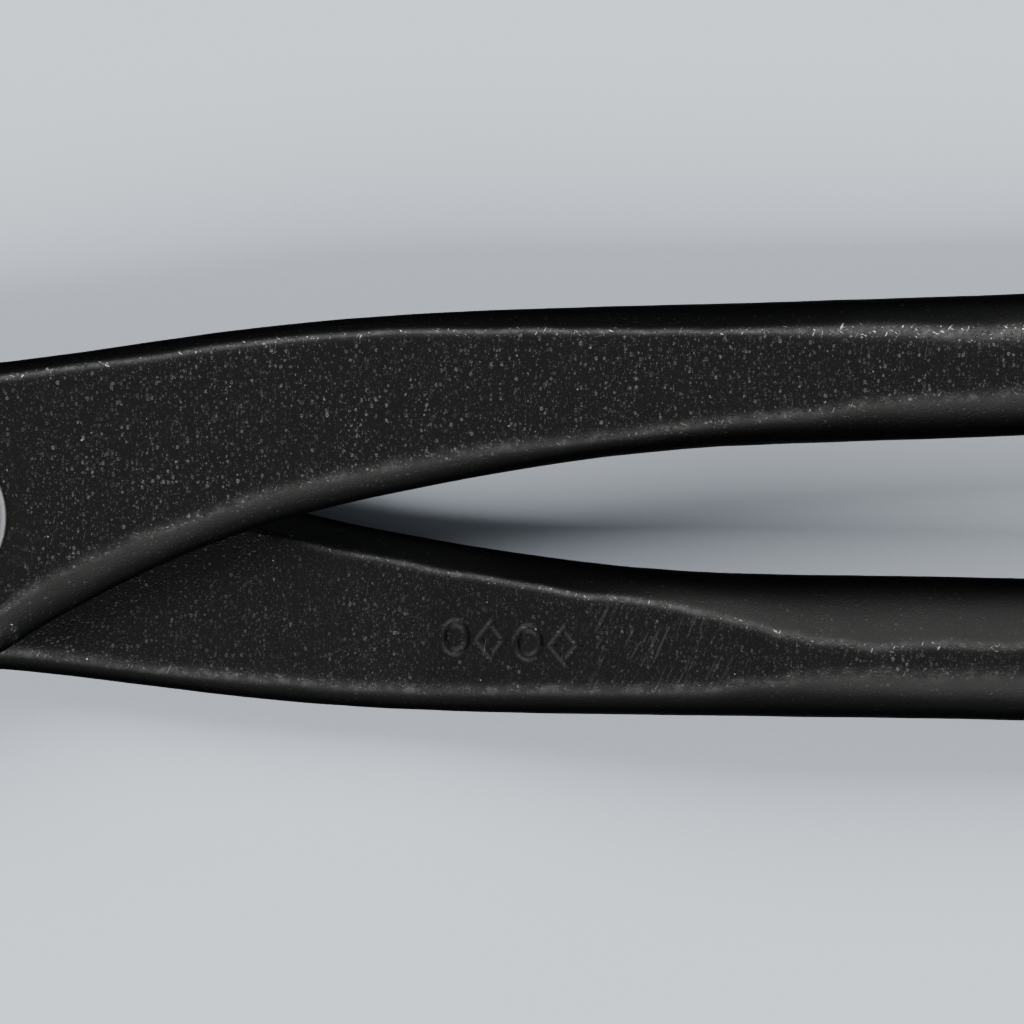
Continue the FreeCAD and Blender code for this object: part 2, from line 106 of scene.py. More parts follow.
LEAF_THICKNESS = 0.4 * MM
LEAF_EDGE = 0.06 * MM
LEAF_FOOT_END = LEAF_LOW.x + 5.4 * MM
BARREL_X = LEAF_HIGH.x - 0.6 * MM
BARREL_RADIUS = 0.4 * MM  # to the middle of the leaf, as is the hook's
HOOK_RADIUS = 0.84 * MM

SOFTBOXES = {"softbox_front": (0.0, -0.41, 0.44), "softbox_back": (0.0, 0.41, 0.44)}
SOFTBOX_SIZE, SOFTBOX_POWER = (1.0, 0.38), 8.0
ROOM_LIGHT = 0.22
AIM = Vector((19.93 * MM, -0.01 * MM, JOINT_TOP))  # the point below the camera


# ---------------------------------------------------------------- sizes and colours

class NipperLevers(bpy.types.PropertyGroup):
    """What a user would change on the two forgings"""
    ring_step: FloatProperty(
        name="Section spacing", description="Along the shank and handle",
        default=0.3 * MM, unit="LENGTH")
    crisp_edge: FloatProperty(
        name="Crisp edge", description="Rounding of the edges that the trimming left sharp",
        default=0.22 * MM, unit="LENGTH")
    soft_edge: FloatProperty(
        name="Soft edge", description="Rounding of the edges that the trimming left soft",
        default=0.34 * MM, unit="LENGTH")
    unevenness: FloatProperty(
        name="Unevenness", description="How far the forged skin waves",
        default=0.012 * MM, unit="LENGTH")
    boss_radius: FloatProperty(
        name="Boss radius", description="Round boss at the pivot",
        default=5.25 * MM, unit="LENGTH")
    shoulder_radius: FloatProperty(
        name="Shoulder radius", description="Round shoulder of the jaw, clear of the other boss",
        default=6.0 * MM, unit="LENGTH")
    stamp_depth: FloatProperty(
        name="Stamp depth", description="Depth of the row of marks on the lap face",
        default=0.06 * MM, unit="LENGTH")


class NipperFinish(bpy.types.PropertyGroup):
    """Colours of the finishes"""
    oxide: FloatVectorProperty(
        name="Black oxide", description="Skin of the forgings", subtype="COLOR",
        default=(0.0135, 0.0135, 0.0132))
    bare_steel: FloatVectorProperty(
        name="Bare steel", description="Where the skin is rubbed through", subtype="COLOR",
        default=(0.56, 0.55, 0.53))
    polished: FloatVectorProperty(
        name="Polished steel", description="Rivet", subtype="COLOR",
        default=(0.72, 0.72, 0.71))
    washer: FloatVectorProperty(
        name="Washer", description="Dull washer", subtype="COLOR",
        default=(0.3, 0.3, 0.31))
    spring: FloatVectorProperty(
        name="Spring steel", description="Leaf springs", subtype="COLOR",
        default=(0.46, 0.46, 0.47))


class NipperStage(bpy.types.PropertyGroup):
    """Floor, lights and camera"""
    floor: FloatVectorProperty(
        name="Floor", description="Plain pale floor", subtype="COLOR",
        default=(0.47, 0.51, 0.57))
    field_width: FloatProperty(
        name="Field width", description="Width that the camera sees at the top of the joint",
        default=34.8 * MM, unit="LENGTH")
    camera_distance: FloatProperty(
        name="Camera distance", description="From the camera to the top of the joint",
        default=0.36, unit="LENGTH")
    camera_roll: FloatProperty(
        name="Camera roll", description="Turn of the camera about its axis",
        default=math.radians(-0.53), subtype="ANGLE")


# ---------------------------------------------------------------- shader expressions

class Field:
    """A shader value on which Python's own operators add Math nodes"""

    def __init__(self, finish, socket):
        self.finish = finish
        self.socket = socket

    def math(self, operation, *others, clamp=False):
        inputs = {0: self}
        inputs.update({index: other for index, other in enumerate(others, start=1)})
        return self.finish.node("ShaderNodeMath", {"operation": operation, "use_clamp": clamp},
                                inputs)

    def __add__(self, other):
        return self.math("ADD", other)

    def __sub__(self, other):
        return self.math("SUBTRACT", other)

    def __mul__(self, other):
        return self.math("MULTIPLY", other)

    __radd__ = __add__

    def __rsub__(self, other):
        return (self * -1.0) + other

    def clamp(self):
        return self.math("ADD", 0.0, clamp=True)

    def also(self, output):
        """Another output of the same node"""
        return Field(self.finish, self.socket.node.outputs[output])

    def step(self, low, high):
        """0 below low, 1 above high, smooth between"""
        return self.finish.node(
            "ShaderNodeMapRange", {"interpolation_type": "SMOOTHSTEP"},
            {"Value": self, "From Min": low, "From Max": high})


class Finish:
    """A material whose nodes are added one method call at a time"""

    def __init__(self, name):
        self.material = bpy.data.materials.new(name)
        self.material.use_nodes = True
        self.tree = self.material.node_tree
        self.tree.nodes.clear()
        self.place = self.node("ShaderNodeTexCoord", output="Object")

    def node(self, kind, settings=None, inputs=None, output=0):
        """Add a node, set it up, feed its sockets and return one of its outputs"""
        new = self.tree.nodes.new(kind)
        for key, setting in (settings or {}).items():
            setattr(new, key, setting)
        for key, value in (inputs or {}).items():
            if isinstance(value, Field):
                self.tree.links.new(value.socket, new.inputs[key])
            else:
                new.inputs[key].default_value = value
        return Field(self, new.outputs[output]) if len(new.outputs) else new

    def streaks(self, length, width, degrees):
        """Coordinates in which noise of scale 1 has streaks of a size, turned about Z"""
        return self.node("ShaderNodeMapping", {"vector_type": "TEXTURE"},
                         {"Vector": self.place, "Scale": (length, width, length),
                          "Rotation": (0.0, 0.0, math.radians(degrees))})

    def noise(self, scale, detail=2.0, roughness=0.5, place=None):
        return self.node("ShaderNodeTexNoise", None,
                         {"Vector": place or self.place, "Scale": scale, "Detail": detail,
                          "Roughness": roughness})

    def cells(self, scale, place=None):
        """Distance from the nearest of many scattered points, in cell widths"""
        return self.node("ShaderNodeTexVoronoi", None,
                         {"Vector": place or self.place, "Scale": scale}, "Distance")

    def wobbled(self, scale, amount):
        """The object's own coordinates, shifted a little this way and that"""
        drift = self.noise(scale).also("Color")
        return self.node("ShaderNodeVectorMath", {"operation": "MULTIPLY_ADD"},
                         {0: drift, 1: (amount, amount, amount), 2: self.place})

    def attribute(self, name):
        return self.node("ShaderNodeAttribute", {"attribute_name": name}, None, "Fac")

    def axis(self, index):
        """X, Y or Z of the object's own coordinates"""
        return self.node("ShaderNodeSeparateXYZ", None, {"Vector": self.place}, index)

    def blend(self, factor, one, other):
        """A colour between two, each a tuple or a Field"""
        pair = {6: one, 7: other}
        pair = {key: (*c, 1.0) if isinstance(c, tuple) else c for key, c in pair.items()}
        return self.node("ShaderNodeMix", {"data_type": "RGBA"}, {0: factor, **pair}, 2)

    def bump(self, height, distance, strength):
        return self.node("ShaderNodeBump", None,
                         {"Height": height, "Distance": distance, "Strength": strength}, "Normal")

    def close(self, inputs):
        """The surface itself"""
        surface = self.node("ShaderNodeBsdfPrincipled", None, inputs)
        self.node("ShaderNodeOutputMaterial", None, {"Surface": surface})
        return self.material


def black_forged(name, density, strokes):
    """Black oxide on forged steel: pitted flats with painted highlights in the pits, rubbed edges
    with a painted sheen, and a few bright nicks.

    density is how closely the pits and nicks lie. strokes adds slanting strokes on the shank.
    """
    colours = bpy.context.scene.nipper_finish
    oxide, bare = tuple(colours.oxide), tuple(colours.bare_steel)
    f = Finish(name)
    edge, rub_and_sheen, flat = f.attribute("edge"), f.attribute("rub_and_sheen"), f.attribute("flat")
    drifted = f.wobbled(9000.0, 0.09 * MM)
    patches = f.noise(420.0, 2.0).step(0.3, 0.7)
    grain = f.noise(14000.0, 3.0, 0.6)

    def pits(scale, smallest, largest):
        near = f.cells(scale, drifted)
        chance = f.node("ShaderNodeSeparateColor", None, {"Color": near.also("Color")}, 0)
        radius = chance * (largest - smallest) + smallest
        pit = f.node("ShaderNodeMapRange", {"interpolation_type": "SMOOTHSTEP"},
                     {"Value": near, "From Min": radius * 0.45, "From Max": radius,
                      "To Min": 1.0, "To Max": 0.0})
        # The glint is a painted highlight: the pit's colour is lightened as if its rim caught the
        # light.
        glint = pit * near.also("Color").math("POWER", 3.0)
        return pit, glint

    wide, wide_glint = pits(5900.0, 0.12, 0.5)
    small, small_glint = pits(10500.0, 0.2, 0.5)
    amount = (patches * 0.5 + 0.5) * (flat * 0.75 + 0.25) * density
    # Painted highlights of the pits.
    glints_and_scratches = (wide_glint * 1.8 + small_glint * 1.3) * amount
    height = grain * 0.3 - (wide + small * 0.6) * amount

    slant = f.noise(1.0, 3.0, 0.6, f.streaks(0.5 * MM, 0.09 * MM, 62.0))
    cross = f.noise(1.0, 3.0, 0.6, f.streaks(0.3 * MM, 0.08 * MM, -28.0))
    worn = edge * f.noise(2300.0, 4.0, 0.65).step(0.42, 0.68)
    marks = slant.step(0.66, 0.72) + cross.step(0.66, 0.71)
    nicks = (rub_and_sheen.step(0.15, 0.6) + edge.step(0.3, 0.8) * 0.3) * marks * density
    sparks = (1.0 - f.cells(1250.0).step(0.03, 0.05)) * flat.step(0.2, 0.9)
    hair = f.noise(1.0, 1.0, 0.4, f.streaks(1.3 * MM, 0.05 * MM, 80.0)).step(0.79, 0.82)
    shine = (nicks * 0.45 + sparks * 0.3 + hair * flat * 0.12).clamp()
    if strokes:
        # One strong patch of strokes and one faint one nearer the joint.
        x = f.axis(0)
        scar = f.noise(1.0, 2.0, 0.5, f.streaks(1.5 * MM, 0.1 * MM, 64.0))
        main = x.step(21.5 * MM, 23.5 * MM) * (1.0 - x.step(26.5 * MM, 28.0 * MM))
        faint = x.step(13.0 * MM, 14.0 * MM) * (1.0 - x.step(16.0 * MM, 17.0 * MM)) * 0.3
        broken = f.noise(1600.0, 3.0, 0.6).step(0.4, 0.6)
        cut = scar.step(0.53, 0.67) * (main + faint) * flat * broken
        glints_and_scratches = glints_and_scratches + cut * 0.35
        height = height - cut * 0.5
    # Lighter skin: painted highlights in the pits, lighter scratches, worn edges, and the rubbed
    # edge's wear with a painted sheen.
    highlights_and_wear = (glints_and_scratches + worn * 0.2 + rub_and_sheen * 0.2).clamp()
    skin = f.blend(highlights_and_wear, oxide, tuple(c * 5.0 for c in oxide))
    return f.close({
        "Base Color": f.blend(shine, skin, bare),
        "Metallic": 1.0,
        "Specular Tint": (0.12, 0.12, 0.12, 1.0),
        "Roughness": (0.4 + grain * 0.1 - worn * 0.06).clamp(),
        "Normal": f.bump(height, 0.02 * MM, 0.9),
    })


def ground_steel(name, direction):
    """Bright ground faces, with grinding lines at an angle in degrees to the X axis"""
    colours = bpy.context.scene.nipper_finish
    f = Finish(name)
    lines = f.noise(1.0, 3.0, 0.6, f.streaks(2.0 * MM, 0.045 * MM, direction))
    cloud = f.noise(700.0, 3.0)
    colour = f.blend(cloud, tuple(c * 0.75 for c in colours.bare_steel), tuple(colours.bare_steel))
    return f.close({
        "Base Color": colour,
        "Metallic": 1.0,
        "Roughness": 0.22 + lines * 0.2,
        "Normal": f.bump(lines, 0.004 * MM, 0.5),
    })


def turned_steel(name, colour, roughness):
    """Turned or polished pieces: a slightly uneven sheen under fine slanting scratches"""
    f = Finish(name)
    fine = f.noise(9000.0, 3.0, 0.6)
    cloud = f.noise(900.0, 2.0)
    scratches = f.noise(1.0, 2.0, 0.5, f.streaks(1.1 * MM, 0.08 * MM, 50.0)).step(0.62, 0.7)
    tint = f.blend(cloud * 0.5, colour, tuple(c * 0.72 for c in colour))
    return f.close({
        "Base Color": tint,
        "Metallic": 1.0,
        "Roughness": (fine * 0.1 + cloud * 0.08 + scratches * 0.1 + roughness).clamp(),
        "Normal": f.bump(fine * 0.4 - scratches * 0.6, 0.004 * MM, 0.4),
    })


def plain_floor(name):
    """Pale matt paper"""
    stage = bpy.context.scene.nipper_stage
    f = Finish(name)
    tooth = f.noise(4000.0, 3.0, 0.6)
    cloud = f.noise(60.0, 2.0)
    shade = f.blend(tooth * 0.25 + cloud * 0.15, tuple(stage.floor),
                    tuple(c * 0.8 for c in stage.floor))
    return f.close({
        "Base Color": shade,
        "Roughness": 0.9,
        "Normal": f.bump(tooth, 0.03 * MM, 0.35),
        "Specular IOR Level": 0.2,
    })


# ---------------------------------------------------------------- mesh helpers

def smooth_curve(points):
    """A smooth function through a few (distance, value) points that never overshoots them"""
    x, y = (np.array(column, dtype=float) for column in zip(*points))
    slope = np.diff(y) / np.diff(x)
    tangent = np.zeros_like(y)
    tangent[0], tangent[-1] = slope[0], slope[-1]
    inner = slope[:-1] * slope[1:] > 0
    tangent[1:-1][inner] = (2 * slope[:-1] * slope[1:] / (slope[:-1] + slope[1:] + 1e-12))[inner]

    def value(at):
        i = int(np.clip(np.searchsorted(x, at) - 1, 0, len(slope) - 1))
        width = x[i + 1] - x[i]
        t = min(max((at - x[i]) / width, 0.0), 1.0)
        return (y[i] * (1 + 2 * t) * (1 - t) ** 2 + tangent[i] * width * t * (1 - t) ** 2
                + y[i + 1] * t * t * (3 - 2 * t) + tangent[i + 1] * width * t * t * (t - 1))

    return value


def slice_extents(node, distances):
    """The lowest and highest Y and Z of a CAD node at each distance along X"""
    mesh = frame["nodes"][node].data
    places = np.empty(len(mesh.vertices) * 3)
    mesh.vertices.foreach_get("co", places)
    places = places.reshape(-1, 3)
    ends = np.empty(len(mesh.edges) * 2, dtype=int)
    mesh.edges.foreach_get("vertices", ends)
    first, second = places[ends[0::2]], places[ends[1::2]]
    rows = []
    for at in distances:
        crossing = (first[:, 0] - at) * (second[:, 0] - at) < 0
        a, b = first[crossing], second[crossing]
        share = ((at - a[:, 0]) / (b[:, 0] - a[:, 0]))[:, None]
        cut = a + (b - a) * share
        rows.append((cut[:, 1].min(), cut[:, 1].max(), cut[:, 2].min(), cut[:, 2].max()))
    return rows


@contextmanager
def editing(piece):
    """A bmesh of the piece's mesh, which is written back at the end"""
    bm = bmesh.new()
    bm.from_mesh(piece.data)
    yield bm
    bm.to_mesh(piece.data)
    bm.free()


def shade(bm, sharp_angle):
    """Make all faces smooth, and sharpen the edges that turn by more than an angle in degrees"""
    for face in bm.faces:
        face.smooth = True
    for edge in bm.edges:
        if len(edge.link_faces) == 2:
            edge.smooth = edge.calc_face_angle(0.0) < math.radians(sharp_angle)


def settle(piece):
    """Close the slits that the cuts left, and mark the sharp edges again"""
    with editing(piece) as bm:
        bmesh.ops.remove_doubles(bm, verts=bm.verts, dist=2e-7)
        shade(bm, 22.0)


def finish_mesh(bm, name, material):
    """Turn a bmesh into an object with one material"""
    shade(bm, 30.0)
    mesh = bpy.data.meshes.new(name)
    bm.to_mesh(mesh)
    bm.free()
    mesh.materials.append(material)
    piece = bpy.data.objects.new(name, mesh)
    bpy.context.collection.objects.link(piece)
    return piece


def next_ring(bm, ring, edges):
    """Extrude a ring, and return its new vertices in the old order, and its new edges"""
    made = bmesh.ops.extrude_edge_only(bm, edges=edges)["geom"]
    fresh = {v for v in made if isinstance(v, bmesh.types.BMVert)}
    new_edges = [e for e in made if isinstance(e, bmesh.types.BMEdge)
                 and e.verts[0] in fresh and e.verts[1] in fresh]
    new_ring = [next(e.other_vert(v) for e in v.link_edges if e.other_vert(v) in fresh)
                for v in ring]
    return new_ring, new_edges


def combine(target, tool, operation):
    """Join a tool object into a piece, or cut the piece with it, and remove the tool"""
    modifier = target.modifiers.new(operation.lower(), "BOOLEAN")
    modifier.operation = operation
    modifier.solver = "EXACT"
    modifier.material_mode = "TRANSFER"
    modifier.object = tool
    bpy.context.view_layer.update()
    whole = bpy.data.meshes.new_from_object(
        target.evaluated_get(bpy.context.evaluated_depsgraph_get()))
    target.modifiers.remove(modifier)
    old = target.data
    target.data = whole
    bpy.data.meshes.remove(old)
    bpy.data.objects.remove(tool)


def round_tool(name, radius, low, high, at, material, tip_radius=None, axis="Z", segments=96):
    """A cylinder or cone between two heights, upright or lying along Y"""
    bm = bmesh.new()
    bmesh.ops.create_cone(bm, cap_ends=True, segments=segments, radius1=radius,
                          radius2=radius if tip_radius is None else tip_radius, depth=high - low)
    bmesh.ops.translate(bm, verts=bm.verts, vec=(0, 0, (low + high) / 2))
    if axis == "Y":
        bmesh.ops.rotate(bm, verts=bm.verts, matrix=Matrix.Rotation(math.radians(-90), 3, "X"))
    bmesh.ops.translate(bm, verts=bm.verts, vec=at)
    return finish_mesh(bm, name, material)


def box_tool(name, low, high, material):
    """An upright box between two corners"""
    low, high = Vector(low), Vector(high)
    bm = bmesh.new()
    bmesh.ops.create_cube(bm, size=1.0)
    bmesh.ops.scale(bm, verts=bm.verts, vec=high - low)
    bmesh.ops.translate(bm, verts=bm.verts, vec=(low + high) / 2)
    return finish_mesh(bm, name, material)


def turned_piece(name, profile, material, steps=160):
    """Spin a profile of (radius, height) points about the Z axis"""
    bm = bmesh.new()
    points = [bm.verts.new((radius, 0.0, height)) for radius, height in profile]
    edges = [bm.edges.new(pair) for pair in zip(points, points[1:])]
    bmesh.ops.spin(bm, geom=points + edges, cent=(0, 0, 0), axis=(0, 0, 1),
                   angle=2 * math.pi, steps=steps, use_merge=True)
    bmesh.ops.remove_doubles(bm, verts=bm.verts, dist=1e-7)
    bmesh.ops.recalc_face_normals(bm, faces=bm.faces)
    return finish_mesh(bm, name, material)


def own(piece, node, body):
    """The piece stands for a CAD node, which is hidden, and rides on its body"""
    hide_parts(node)
    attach(piece, body)


# ---------------------------------------------------------------- the forging

# How far each flat stops short of the side, along the handle: (distance, inset) in mm.
FACE_OUTER_INSET = [(0, 0.5), (5, 0.5), (8, 0.54), (11, 0.5), (17, 0.6), (21.5, 0.78),
                    (26.3, 0.95), (30.4, 1.05), (33, 1.15), (36, 1.28), (46, 1.9)]
FACE_INNER_INSET = [(0, 1.35), (5, 1.46), (11, 1.13), (17, 1.0), (24, 0.78), (28, 0.95),
                    (33, 1.36), (36, 1.53), (46, 2.2)]
LAP_OUTER_INSET = [(0, 0.66), (14, 0.75), (20, 0.88), (26.3, 1.02), (28, 1.3), (30.4, 1.6),
                   (36, 1.65), (46, 2.2)]
LAP_INNER_INSET = [(0, 1.0), (20, 1.03), (24, 1.15), (26.3, 1.46), (28, 1.8), (30.4, 2.3),
                   (36, 2.4), (46, 2.4)]
# How steeply the band beside each flat falls away, along the handle: (distance, degrees).
FACE_OUTER_TILT = [(0, 52), (26, 52), (30, 48), (33, 42), (36, 36), (46, 12)]
FACE_INNER_TILT = [(0, 24), (36, 23), (46, 10)]
LAP_OUTER_TILT = [(0, 27), (28, 24), (31, 18), (36, 16), (46, 12)]
LAP_INNER_TILT = [(0, 50), (20, 50), (23, 40), (26, 26), (30, 22), (36, 22), (46, 10)]
# How much wider than its own rounding the outer edge of the outer face gets: (distance, times).
FACE_OUTER_ROUNDING = [(0, 1.0), (27, 1.0), (33, 2.2), (46, 2.6)]
NARROWEST_FLAT = 0.5 * MM
FULLNESS = 0.74  # how full the section is between a flat and the side
ARC_POINTS = 18  # points of a ring between a flat and the side
FLAT_POINTS = 16  # points of a ring across a flat
FINE_POINTS = 1500  # points of the outline from which a rounded ring is averaged
ARC_CROWDING, FLAT_CROWDING = 1.5, 0.13  # how closely points crowd towards the flats' edges
ROUNDED_REACH, WEAR_AND_SHEEN_REACH = 1.6, 0.7  # how far rounding, and wear with its painted sheen, fade, in widths of the edge
LEAST_WINDOW = 0.004 * MM


def quadrant(half_width, inset, height, tilt):
    """A quarter of the section from the edge of a flat to the side, as a Bezier curve"""
    drop = min(inset * math.tan(math.radians(tilt)), 0.7 * height)
    start, end = np.array((half_width - inset, height)), np.array((half_width, 0.0))
    one = start + FULLNESS * np.array((inset, -drop))
    other = np.array((half_width, FULLNESS * (height - drop)))
    t = np.linspace(0.0, 1.0, 60)[:, None]
    return ((1 - t) ** 3 * start + 3 * (1 - t) ** 2 * t * one + 3 * (1 - t) * t * t * other
            + t ** 3 * end)


def section(centre, half_width, low, high, insets, tilts, edges):
    """One section of the forging: places round the ring, and how near each is to an edge.

    insets, tilts and edges belong to the outer edge and the inner edge of the outer face,
    then to the outer edge and the inner edge of the lap face.
    """
    mid, height = (low + high) / 2, (high - low) / 2
    face_outer, face_inner, lap_outer, lap_inner = (
        quadrant(half_width, inset, height, tilt) * way
        for inset, tilt, way in zip(insets, tilts, ((1, 1), (-1, 1), (1, -1), (-1, -1))))
    legs = [face_outer, lap_outer[::-1], np.stack([lap_outer[0], lap_inner[0]]), lap_inner,
            face_inner[::-1], np.stack([face_inner[0], face_outer[0]])]
    outline = np.concatenate(legs)
    steps = np.linalg.norm(np.diff(outline, axis=0), axis=1)
    keep = np.concatenate([[True], steps > 1e-9])
    outline = outline[keep]
    along = np.concatenate([[0.0], np.cumsum(np.linalg.norm(np.diff(outline, axis=0), axis=1))])
    total = along[-1]
    ends = np.cumsum([np.linalg.norm(np.diff(leg, axis=0), axis=1).sum() for leg in legs])
    starts = np.concatenate([[0.0], ends[:-1]])

    # Spread the ring's points over the six legs, closest together at the edges of the flats.
    spots = []
    for index, (start, end) in enumerate(zip(starts, ends)):
        count = FLAT_POINTS if index in (2, 5) else ARC_POINTS
        share = np.arange(count) / count
        if index in (2, 5):
            share = share - FLAT_CROWDING * np.sin(2 * math.pi * share)
        elif index in (0, 3):
            share = share ** ARC_CROWDING
        else:
            share = 1 - (1 - share) ** ARC_CROWDING
        spots.append(start + (end - start) * share)
    spots = np.concatenate(spots)
    creases = np.array([0.0, ends[4], ends[1], ends[2]])

    # Round the edges: each point is the mean of the outline over a window about itself.
    distance = np.abs(spots[:, None] - creases[None, :])
    distance = np.minimum(distance, total - distance)
    widths = np.array(edges)
    window = (widths * np.exp(-(distance / (ROUNDED_REACH * widths)) ** 2)).max(axis=1)
    window = np.maximum(window, LEAST_WINDOW)
    fine = np.linspace(-0.25 * total, 1.25 * total, FINE_POINTS)
    wrapped = np.mod(fine, total)
    places = np.stack([np.interp(wrapped, along, outline[:, k]) for k in (0, 1)], axis=1)
    sums = np.concatenate([[[0.0, 0.0]], np.cumsum((places[1:] + places[:-1]) / 2
                                                   * np.diff(fine)[:, None], axis=0)])
    ring = np.stack([(np.interp(spots + window, fine, sums[:, k])
                      - np.interp(spots - window, fine, sums[:, k])) / (2 * window)
                     for k in (0, 1)], axis=1)
    near = np.exp(-(distance / (WEAR_AND_SHEEN_REACH * widths)) ** 2)
    return ring + (centre, mid), near


def waver(at, seed, wavelength):
    """A smooth random value between about -1 and 1 along the handle"""
    return noise.noise(Vector((at / wavelength, seed * 7.31, seed * 1.7))) * 2


def forged_blank(name, node, seed, edges, material):
    """Shank and handle of the upper lever, or of the lower one turned over, as a row of rings.

    edges are the four roundings of section(). seed picks one lever's own unevenness.
    """
    sizes = bpy.context.scene.nipper_levers
    # Where the CAD is measured. The seat of the leaf would dent the outline, so it is passed over.
    leaf_zone = (LEAF_LOW.x - 1.5 * MM, LEAF_LOW.x + 13 * MM)
    known = np.concatenate([np.arange(0.6, 76, 1.6) * MM,
                            HANDLE_END - HANDLE_TAPER * np.linspace(1.0, 0.08, 16) ** 2])
    known = [at for at in sorted(known) if not leaf_zone[0] < at < leaf_zone[1]]
    extents = slice_extents(node, known)
    low_y, high_y, low_z, high_z = (
        smooth_curve(list(zip(known, column))) for column in zip(*extents))
    insets = [smooth_curve([(x * MM, inset * MM) for x, inset in points]) for points in
              (FACE_OUTER_INSET, FACE_INNER_INSET, LAP_OUTER_INSET, LAP_INNER_INSET)]
    tilts = [smooth_curve([(x * MM, tilt) for x, tilt in points]) for points in
             (FACE_OUTER_TILT, FACE_INNER_TILT, LAP_OUTER_TILT, LAP_INNER_TILT)]
    rounding = smooth_curve([(x * MM, times) for x, times in FACE_OUTER_ROUNDING])
    stations = list(np.arange(FIRST_RING, HANDLE_END - HANDLE_TAPER, sizes.ring_step))
    stations += list(HANDLE_END - HANDLE_TAPER * np.linspace(1.0, 0.09, 28) ** 2)
    crispest = edges.index(min(edges))

    bm = bmesh.new()
    edge_layer = bm.verts.layers.float.new("edge")
    rub_and_sheen_layer = bm.verts.layers.float.new("rub_and_sheen")
    flat_layer = bm.verts.layers.float.new("flat")
    count = 4 * ARC_POINTS + 2 * FLAT_POINTS
    first = bmesh.ops.create_circle(bm, segments=count, radius=MM)["verts"]
    ring_edges = list(bm.edges)
    ring = first
    for number, at in enumerate(stations):
        if number:
            ring, ring_edges = next_ring(bm, ring, ring_edges)
        half = (high_y(at) - low_y(at)) / 2
        centre = (high_y(at) + low_y(at)) / 2
        # Each flat's edge wanders slowly by a twentieth, and quickly by a fiftieth.
        wave = [1 + 0.05 * waver(at, seed + k, 3.4 * MM) + 0.02 * waver(at, seed + k + 9, 1.1 * MM)
                for k in range(4)]
        cuts = np.array([inset(at) * w for inset, w in zip(insets, wave)])
        for pair in (cuts[:2], cuts[2:]):
            pair *= min(1.0, (2 * half - NARROWEST_FLAT) / pair.sum())
        places, near = section(centre, half, low_z(at), high_z(at), cuts,
                               [tilt(at) for tilt in tilts],
                               (edges[0] * rounding(at), *edges[1:]))
        for index, vert in enumerate(ring):
            y, z = places[index]
            vert.co = (at, y, z)
            vert[edge_layer] = float(near[index].max())
            # Nearness to the crispest edge: the material wears it to bare steel in places and
            # lightens it as a painted sheen.
            vert[rub_and_sheen_layer] = float(near[index][crispest])
            on_flat = index >= count - FLAT_POINTS or 0 <= index - 2 * ARC_POINTS < FLAT_POINTS
            vert[flat_layer] = 1.0 if on_flat else max(0.0, float(near[index].max()) - 0.3)
    bmesh.ops.contextual_create(bm, geom=first)
    bmesh.ops.contextual_create(bm, geom=ring)
    bmesh.ops.recalc_face_normals(bm, faces=bm.faces)
    bm.normal_update()
    for vert in bm.verts:
        place = Vector(vert.co) / (2.2 * MM) + Vector((seed * 3.1, 0, 0))
        dent = noise.noise(place) + 0.5 * noise.noise(place * 2.7)
        vert.co += vert.normal * dent * sizes.unevenness
    return finish_mesh(bm, name, material)


def boss_disc(name, material):
    """The round boss in its half of the joint, with the same rolled-off edges as the shank"""
    sizes = bpy.context.scene.nipper_levers
    radius = sizes.boss_radius
    low, high = MIDDLE + LAP_GAP, JOINT_TOP
    mid = (low + high) / 2
    top = quadrant(radius, 1.3 * MM, high - mid, 24)
    bottom = quadrant(radius, 0.7 * MM, mid - low, 40)
    profile = [(0.0, high)]
    profile += [(r, mid + z) for r, z in top]
    profile += [(r, mid - z) for r, z in bottom[::-1]]
    profile.append((0.0, low))
    return turned_piece(name, profile, material)


def jaw_outline():
    """Corners of the upper lever's jaw in plan, closed, in mm: the outer side is two arcs"""
    def arc(start, end, bulge, count):
        start, end = Vector(start), Vector(end)
        across = (end - start).orthogonal().normalized()
        return [start.lerp(end, t) + across * bulge * 4 * t * (1 - t)
                for t in np.linspace(0, 1, count)[1:]]

    reach = JAW_REACH / MM + 0.02
    outline = [Vector((-reach, -0.01)), Vector((-4.2, -0.01)), Vector((0.0, -5.2))]
    outline += arc((0.0, -5.2), (-9.0, -5.4), -0.38, 14)
    outline += arc((-9.0, -5.4), (-reach, -1.3), -0.75, 18)
    return outline


def jaw_block(name, dark, bright):
    """The jaw before grinding: full thickness in front of the shoulder"""
    sizes = bpy.context.scene.nipper_levers
    bm = bmesh.new()
    corners = [bm.verts.new((x * MM, y * MM, UNDERSIDE)) for x, y in jaw_outline()]
    base = bm.faces.new(corners)
    made = bmesh.ops.extrude_face_region(bm, geom=[base])["geom"]
    top = [v for v in made if isinstance(v, bmesh.types.BMVert)]
    bmesh.ops.translate(bm, verts=top, vec=(0, 0, JOINT_TOP - UNDERSIDE))
    bmesh.ops.recalc_face_normals(bm, faces=bm.faces)
    # Only the level edges of the outer side are rounded, not the ones near the cutting edge.
    rim = [e for e in bm.edges
           if all(v.co.y < -1.2 * MM for v in e.verts)
           and abs(e.verts[0].co.z - e.verts[1].co.z) < 1e-7]
    bmesh.ops.bevel(bm, geom=rim, offset=JAW_ROUNDING, affect="EDGES", segments=5, profile=0.5,
                    material=-1)
    bmesh.ops.rotate(bm, verts=bm.verts, cent=(0, 0, 0), matrix=JAW_TURN)
    jaw = finish_mesh(bm, name, dark)
    combine(jaw, round_tool("shoulder_tool", sizes.shoulder_radius, -MM, MIDDLE + LAP_GAP,
                            (0, 0, 0), bright), "DIFFERENCE")
    return jaw


